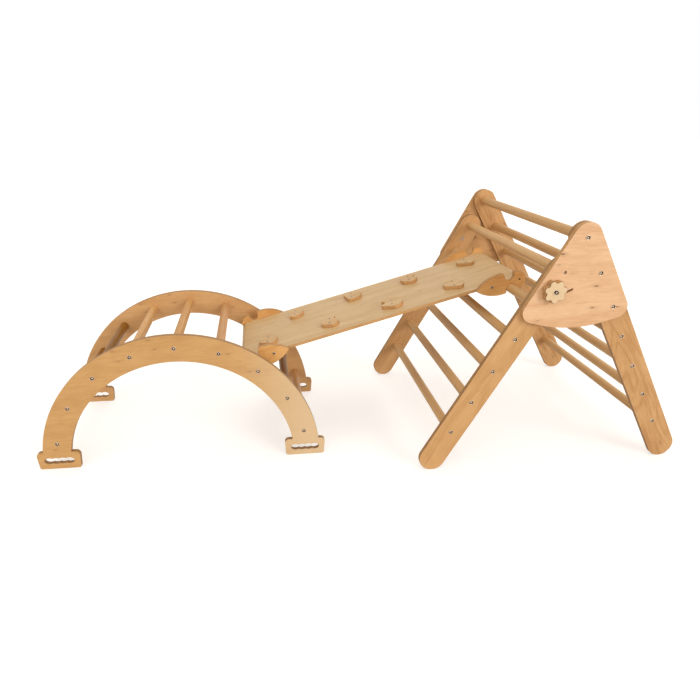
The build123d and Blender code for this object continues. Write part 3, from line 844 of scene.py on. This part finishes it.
def round_screw(h):
    """Profile of a round-headed screw: a pointed shank, a domed head and a cross cut into it.

    The cross falls to its wall's foot and then gently to its middle.
    """
    point, brim, foot, middle = 0.005, 0.0004, 0.0013, 0.0018
    r, t, thin, deep = h.edge_screw_d / 2, h.edge_screw_t, h.edge_shank_d / 2, -h.edge_screw_l
    rows = [(MIDDLE, deep, 0), (thin, deep + point, 0), (thin, 0, 0), (r, 0, 0), (r, brim, 0)]
    rows += [(r * 0.9, t * 0.62, 0), (r * 0.72, t * 0.9, 0), (r * 0.6, t, 0), (r * 0.55, t, 1)]
    return rows + [(r * 0.46, t - foot, 1), (CROSS_MIDDLE, t - middle, 1)]


def random_turns(count, seed):
    """Seeded turns for a row of bolts, so that no two sockets stand alike."""
    return np.random.default_rng(seed).uniform(0, math.pi, count)


def bolt_places(spots, face_y, seed):
    """Placings of a bolt in each of the spots, on the front and the rear face."""
    turns = random_turns(2 * len(spots), seed)
    sides = [side for side in (-1, 1) for _ in spots]
    return [outward(p, s, face_y, t) for p, s, t in zip(spots * 2, sides, turns)]


class CLIMB_OT_arch_panels(bpy.types.Operator):
    """Round the edges of the arch's two side panels and give them their plywood"""

    bl_idname = "climb.arch_panels"
    bl_label = "Arch panels"

    def execute(self, context):
        for side, look in (("front", "front arch ply"), ("rear", "arch ply")):
            eased_copy(f"arch_panel_{side}", look)
        return {"FINISHED"}


class CLIMB_OT_ladder_legs(bpy.types.Operator):
    """Round the edges of the four ladder legs and give them their plywood"""

    bl_idname = "climb.ladder_legs"
    bl_label = "Ladder legs"

    def execute(self, context):
        for side, _ in SIDES:
            eased_copy(f"left_leg_{side}", "left leg ply")
            eased_copy(f"right_leg_{side}", "right leg ply")
        return {"FINISHED"}


class CLIMB_OT_side_plates(bpy.types.Operator):
    """Round the edges of the slotted side plates and give them their plywood"""

    bl_idname = "climb.side_plates"
    bl_label = "Side plates"

    def execute(self, context):
        for side, look in (("front", "plate ply"), ("rear", "golden plate ply")):
            eased_copy(f"side_plate_{side}", look)
        return {"FINISHED"}


class CLIMB_OT_hook_plates(bpy.types.Operator):
    """Round the edges of the ramp's four hook plates and give them their plywood"""

    bl_idname = "climb.hook_plates"
    bl_label = "Hook plates"

    def execute(self, context):
        for end in ("triangle", "arch"):
            for side, _ in SIDES:
                eased_copy(f"hook_{end}_{side}", "hook ply")
        return {"FINISHED"}


class CLIMB_OT_ramp_board(bpy.types.Operator):
    """Ease the ramp board's edges and give it its plywood"""

    bl_idname = "climb.ramp_board"
    bl_label = "Ramp board"

    def execute(self, context):
        s = context.scene.climb_wood
        eased_copy("ramp_board", "board ply", s.edge_round * 0.5, 2)
        return {"FINISHED"}


class CLIMB_OT_climbing_holds(bpy.types.Operator):
    """Round the edges of the eight climbing holds and give them their plywood"""

    bl_idname = "climb.climbing_holds"
    bl_label = "Climbing holds"

    def execute(self, context):
        s = context.scene.climb_wood
        for node in HOLDS:
            eased_copy(node, "hold ply", s.hold_round)
        return {"FINISHED"}


class CLIMB_OT_rungs(bpy.types.Operator):
    """Give the rods of the arch and both ladders their wood"""

    bl_idname = "climb.rungs"
    bl_label = "Rungs"

    def execute(self, context):
        looks = dict.fromkeys(LEFT_RUNGS + RIGHT_RUNGS + ["hook_dowels"], "rod wood")
        looks.update(dict.fromkeys(ARCH_RUNGS, "golden rod wood"))
        looks.update(dict.fromkeys(["arch_rung_6", "arch_rung_9"], "red rod wood"))
        # Rung 2 is darker wood; on rungs 3 and 8 the brown is painted shade where they lie in
        # shadow
        looks.update(dict.fromkeys([f"arch_rung_{i}" for i in (2, 3, 8)], "brown rod wood"))
        for node, look in looks.items():
            for slot in NODES[node].material_slots:
                slot.material = finish(look)
        return {"FINISHED"}


def knob_radius(angles, k):
    """Radius of the knob's outline over the angle.

    Within a lobe it is the far side of the lobe's circle, and between two lobes the near side of
    the hollow's circle. The two circles touch, and the outline changes over where they do.
    """
    half = math.pi / k.lobes
    arm = k.radius - k.lobe
    side = arm * math.sin(half)
    dip_arm = arm * math.cos(half) + math.sqrt((k.lobe + k.dip) ** 2 - side**2)
    lobe_centre = np.array((arm, 0.0))
    dip_centre = dip_arm * np.array((math.cos(half), math.sin(half)))
    touch = lobe_centre + (dip_centre - lobe_centre) * k.lobe / (k.lobe + k.dip)
    change = math.atan2(touch[1], touch[0])
    near = np.abs(np.mod(angles + half, 2 * half) - half)
    off = half - near
    lobe = np.sqrt(np.maximum(k.lobe**2 - (arm * np.sin(near)) ** 2, 0))
    dip = np.sqrt(np.maximum(k.dip**2 - (dip_arm * np.sin(off)) ** 2, 0))
    return np.where(near < change, arm * np.cos(near) + lobe, dip_arm * np.cos(off) - dip)


def knob_mesh(name, side, sign, k, h):
    """Lobed disc with rounded edges and a bore for its bolt.

    Point (i, j) lies at angle a_j and height z_i, at radius R(a_j) less an inset that follows a
    quarter circle at the front edge and a smaller one at the back. The inner rows close in to
    the bore.
    """
    back, front = reach(f"knob_{side}")
    thick, small, bore = front - back, k.edge * 0.4, h.shank_d / 2 + KNOB_ROOM
    around = 168
    angles = np.arange(around) * (2 * math.pi / around)
    arc = np.linspace(0, math.pi / 2, 7)
    falls, climbs = 1 - np.sin(arc), 1 - np.cos(arc)
    inset = np.concatenate((small * falls, k.edge * climbs))[:, None]
    wall = knob_radius(angles + sign * k.turn, k) - inset
    top = wall[-1] + (bore - wall[-1]) * np.linspace(0, 1, 6)[1:, None]
    under = wall[0] + (bore - wall[0]) * np.linspace(0, 1, 4)[:0:-1, None]
    radius = np.concatenate((under, wall, top))
    sides = (small * climbs, thick - k.edge * falls)
    heights = np.concatenate((np.zeros(len(under)), *sides, np.full(len(top), thick)))
    points = ring_points(radius, heights[:, None], angles)
    matrix = outward(centre(f"knob_washer_{side}"), sign, back)
    points = points @ np.array(matrix.to_3x3()).T + np.array(matrix.to_translation())
    return shaded_mesh(name, points, ring_faces(len(radius), around, len(radius)).tolist(), 50)


class CLIMB_OT_knobs(bpy.types.Operator):
    """Make the two clamping knobs with their washers and bolts"""

    bl_idname = "climb.knobs"
    bl_label = "Clamping knobs"

    def execute(self, context):
        k, h = context.scene.climb_knob, context.scene.climb_hardware
        for side, sign in SIDES:
            knob, washer, bolt = f"knob_{side}", f"knob_washer_{side}", f"knob_bolt_{side}"
            name = f"clamping_knob_{side}"
            mesh = knob_mesh(name, side, sign, k, h)
            new_piece(name, mesh, ["knob wood"], [knob])
            spot, (inner, outer) = centre(washer), reach(washer)
            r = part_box(washer)[1].x - spot.x
            rows = washer_disc(r, h.shank_d / 2 + WASHER_ROOM, outer - inner)
            mesh = turned(f"washer_{side}", rows, [outward(spot, sign, inner)], around=48)
            new_piece(f"washer_{side}", mesh, ["bolt zinc"], [washer])
            shank = outer - reach(bolt)[0]
            rows = dome_head(h.knob_head_d, h.knob_head_t, shank, h, h.knob_socket_t)
            spots = [outward(spot, sign, outer, turn=0.3)]
            # The knob bolt's head takes the painted socket shade all over as a painted dark
            # reflection, and its socket's middle stays plain zinc
            mesh = turned(f"knob_screw_{side}", rows, spots, painted_shade_rows=HEAD_ROWS)
            new_piece(f"knob_screw_{side}", mesh, BOLT_LOOKS, [bolt])
        return {"FINISHED"}


class CLIMB_OT_bolts(bpy.types.Operator):
    """Make the domed bolts that hold the rungs and the sunk bolts on which the ladders fold"""

    bl_idname = "climb.bolts"
    bl_label = "Bolts"

    def execute(self, context):
        h = context.scene.climb_hardware
        arch = [centre(node) for node in ARCH_RUNGS]
        left = [centre(node) for node in LEFT_RUNGS]
        right = [centre(node) for node in RIGHT_RUNGS]
        arch_y, leg_y = reach("arch_panel_rear")[1], reach("right_leg_rear")[1]
        plate_y, left_y = reach("side_plate_rear")[1], reach("left_leg_rear")[1]
        sunk_y = left_y - h.head_t - h.sunk_gap
        pivot_y = reach("pivot_bolts")[1] - h.pivot_t
        left_places = bolt_places(left[2:], left_y, seed=9)
        left_places += bolt_places(left[1:2], sunk_y, seed=11)
        head, pivot = (h.head_d, h.head_t), (h.pivot_d, h.pivot_t)
        groups = (
            ("arch_bolts", bolt_places(arch, arch_y, seed=3), h.panel_bolt, head),
            ("right_bolts", bolt_places(right[3:], leg_y, seed=5), h.panel_bolt, head),
            ("plate_bolts", bolt_places(right[:3], plate_y, seed=7), h.plate_bolt, head),
            ("left_bolts", left_places, h.leg_bolt, head),
            ("pivot_bolts", bolt_places(left[:1], pivot_y, seed=13), h.pivot_bolt, pivot),
        )
        for node, places, shank, size in groups:
            rows = dome_head(*size, shank, h, h.socket_t)
            mesh = turned(node + "_domed", rows, places, painted_shade_rows=SOCKET_ROWS)
            new_piece(node + "_domed", mesh, BOLT_LOOKS, [node])
        for slot in NODES["tee_nuts"].material_slots:
            slot.material = finish("bolt zinc")
        return {"FINISHED"}


class CLIMB_OT_screws(bpy.types.Operator):
    """Make the sunk screws of the climbing holds and the round-headed screws of the hook plates"""

    bl_idname = "climb.screws"
    bl_label = "Screws"

    def execute(self, context):
        s, h = context.scene.climb_wood, context.scene.climb_hardware
        lift = Matrix((RAMP_DIR, Vector((0, 1, 0)), RAMP_UP)).transposed().to_4x4()
        middle = RAMP_BASE + RAMP_DIR * (RAMP_SPAN / 2) + RAMP_UP * BOARD_RISE
        face = RAMP_UP * (s.board_t / 2 + s.hold_t)
        turns = iter(random_turns(2 * len(HOLDS), seed=17))
        places = []
        for i in range(len(HOLDS)):
            row = -h.hold_row if i % 2 == 0 else h.hold_row
            for side in (-1, 1):
                along = h.hold_pitch * (i - (len(HOLDS) - 1) / 2) + side * h.pair_along
                spot = middle + RAMP_DIR * along + face
                spot.y = row + side * h.pair_across
                turn = Matrix.Rotation(next(turns), 4, "Z")
                places.append(Matrix.Translation(spot) @ lift @ turn)
        mesh = turned("hold_screws_sunk", sunk_screw(h), places, cross, 48, CROSS_ROWS)
        new_piece("hold_screws_sunk", mesh, SCREW_LOOKS, ["hold_screws"])

        out = RAMP_SPAN / 2 - h.edge_screw_in
        spots = [middle + RAMP_DIR * (end * out) for end in (-1, 1)]
        places = bolt_places(spots, reach("hook_arch_rear")[1], seed=19)
        mesh = turned("hook_screws_domed", round_screw(h), places, cross, 48, CROSS_ROWS)
        new_piece("hook_screws_domed", mesh, SCREW_LOOKS, ["hook_screws"])
        return {"FINISHED"}


def seen(tree):
    """One for rays from the camera, straight or by way of gloss or glass."""
    paths = put(tree, "LightPath").outputs
    straight = maths("ADD", paths["Is Camera Ray"], paths["Is Glossy Ray"])
    return maths("ADD", straight, paths["Is Transmission Ray"], clamp=True)


def pale_floor(s):
    """Lay a flat floor just under the set, which shows its shadow and glows for the eye alone."""
    half, level = 30.0, -0.0002
    mesh = bpy.data.meshes.new("floor")
    corners = [(x * half, y * half, level) for x, y in ((-1, -1), (1, -1), (1, 1), (-1, 1))]
    mesh.from_pydata(corners, [], [(0, 1, 2, 3)])
    floor = place_in_scene("floor", mesh)
    made, tree, shader, place = finish_tree("pale floor")
    mottle = noise(place["Object"], (3, 3, 3), 2, 0.5)
    tint = joined(*[spread(mottle, 0.3, 0.7, 0.985, 1.0)] * 3)
    tree.links.new(blend(tree, 1.0, s.floor, tint, "MULTIPLY"), shader.inputs["Base Color"])
    shader.inputs["Roughness"].default_value = 0.9
    glow = put(tree, "Emission", {"Color": WHITE, "Strength": s.glow})
    both = put(tree, "AddShader", {0: shader.outputs[0], 1: glow.outputs[0]})
    pick = put(tree, "MixShader", {0: seen(tree), 1: shader.outputs[0], 2: both.outputs[0]})
    tree.links.new(pick.outputs[0], tree.nodes["Material Output"].inputs["Surface"])
    mesh.materials.append(made)


def surroundings(scene, s):
    """Light the set from all round, and show the eye plain white."""
    scene.world = scene.world or bpy.data.worlds.new("Surroundings")
    scene.world.use_nodes = True
    tree = scene.world.node_tree
    tree.nodes.clear()
    eye = seen(tree)
    strength = spread(eye, 0.0, 1.0, s.sky, 1.0)
    shade = blend(tree, eye, s.tint, WHITE)
    sky = put(tree, "Background", {"Color": shade, "Strength": strength})
    put(tree, "OutputWorld", {"Surface": sky.outputs[0]})


def lamps(s):
    """Hang the distant lamps, each by its turn from the front and its rise above the floor."""
    for name, turn, rise, width, strength in (
        ("key", s.key_turn, s.key_rise, s.key_width, s.key),
        ("fill", s.fill_turn, s.fill_rise, s.fill_width, s.fill),
        ("top", 0.0, math.pi / 2, s.top_width, s.top),
        ("back", s.back_turn, s.back_rise, s.back_width, s.back),
    ):
        flat = math.cos(rise)
        towards = Vector((math.sin(turn) * flat, -math.cos(turn) * flat, math.sin(rise)))
        lamp = bpy.data.lights.new(name, "SUN")
        lamp.angle, lamp.energy = width, strength
        made = place_in_scene(name, lamp)
        made.location = towards * LAMP_DISTANCE
        made.rotation_euler = towards.to_track_quat("Z", "Y").to_euler()
        made.visible_glossy = name != "back"


def photo_camera(scene, s):
    """Stand the camera where the photograph was taken, turned by its yaw, pitch and roll."""
    camera = bpy.data.cameras.new("photo view")
    camera.sensor_fit, camera.sensor_width = "HORIZONTAL", 36
    camera.lens = s.lens
    camera.shift_x, camera.shift_y = s.shift
    camera.clip_start, camera.clip_end = 0.05, 100
    right = Vector((math.cos(s.yaw), -math.sin(s.yaw), 0))
    ahead = Vector((math.sin(s.yaw), math.cos(s.yaw), 0)) * math.cos(s.pitch)
    ahead.z = -math.sin(s.pitch)
    down = ahead.cross(right)
    across = right * math.cos(s.roll) + down * math.sin(s.roll)
    under = down * math.cos(s.roll) - right * math.sin(s.roll)
    turn = Matrix((across, -under, -ahead)).transposed().to_4x4()
    made = place_in_scene("photo view", camera)
    made.matrix_world = Matrix.Translation(s.place) @ turn
    scene.camera = made


class CLIMB_OT_stage(bpy.types.Operator):
    """Put up the pale floor, the lamps and the camera"""

    bl_idname = "climb.stage"
    bl_label = "Stage"

    def execute(self, context):
        scene, s = context.scene, context.scene.climb_stage
        scene.view_settings.view_transform = "Standard"
        pale_floor(s)
        surroundings(scene, s)
        lamps(s)
        photo_camera(scene, s)
        return {"FINISHED"}


class CLIMB_PT_sidebar(bpy.types.Panel):
    """Lists the steps and settings of the climbing set"""

    bl_idname = "CLIMB_PT_sidebar"
    bl_label = "Climbing set"
    bl_space_type = "VIEW_3D"
    bl_region_type = "UI"
    bl_category = "Climbing set"

    def draw(self, context):
        layout = self.layout
        for step in STEPS:
            layout.operator(step.bl_idname)
        for group in SETTINGS:
            box = layout.box()
            settings = getattr(context.scene, group)
            for key in settings.__annotations__:
                box.prop(settings, key)


SETTINGS = {
    "climb_wood": WoodSettings,
    "climb_hardware": HardwareSettings,
    "climb_knob": KnobSettings,
    "climb_stage": StageSettings,
}
STEPS = (
    CLIMB_OT_arch_panels,
    CLIMB_OT_ladder_legs,
    CLIMB_OT_side_plates,
    CLIMB_OT_hook_plates,
    CLIMB_OT_ramp_board,
    CLIMB_OT_climbing_holds,
    CLIMB_OT_rungs,
    CLIMB_OT_knobs,
    CLIMB_OT_bolts,
    CLIMB_OT_screws,
    CLIMB_OT_stage,
)


def register():
    for kind in (*SETTINGS.values(), *STEPS, CLIMB_PT_sidebar):
        bpy.utils.register_class(kind)
    for name, kind in SETTINGS.items():
        setattr(bpy.types.Scene, name, PointerProperty(type=kind))


def unregister():
    for name in SETTINGS:
        delattr(bpy.types.Scene, name)
    for kind in reversed((*SETTINGS.values(), *STEPS, CLIMB_PT_sidebar)):
        bpy.utils.unregister_class(kind)


def main():
    """Clear the start-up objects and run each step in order."""
    for thing in list(bpy.data.objects):
        if thing.name in ("Cube", "Camera", "Light"):
            bpy.data.objects.remove(thing)
    register()
    bpy.ops.climb.arch_panels()
    bpy.ops.climb.ladder_legs()
    bpy.ops.climb.side_plates()
    bpy.ops.climb.hook_plates()
    bpy.ops.climb.ramp_board()
    bpy.ops.climb.climbing_holds()
    bpy.ops.climb.rungs()
    bpy.ops.climb.knobs()
    bpy.ops.climb.bolts()
    bpy.ops.climb.screws()
    bpy.ops.climb.stage()


if __name__ == "__main__":
    main()
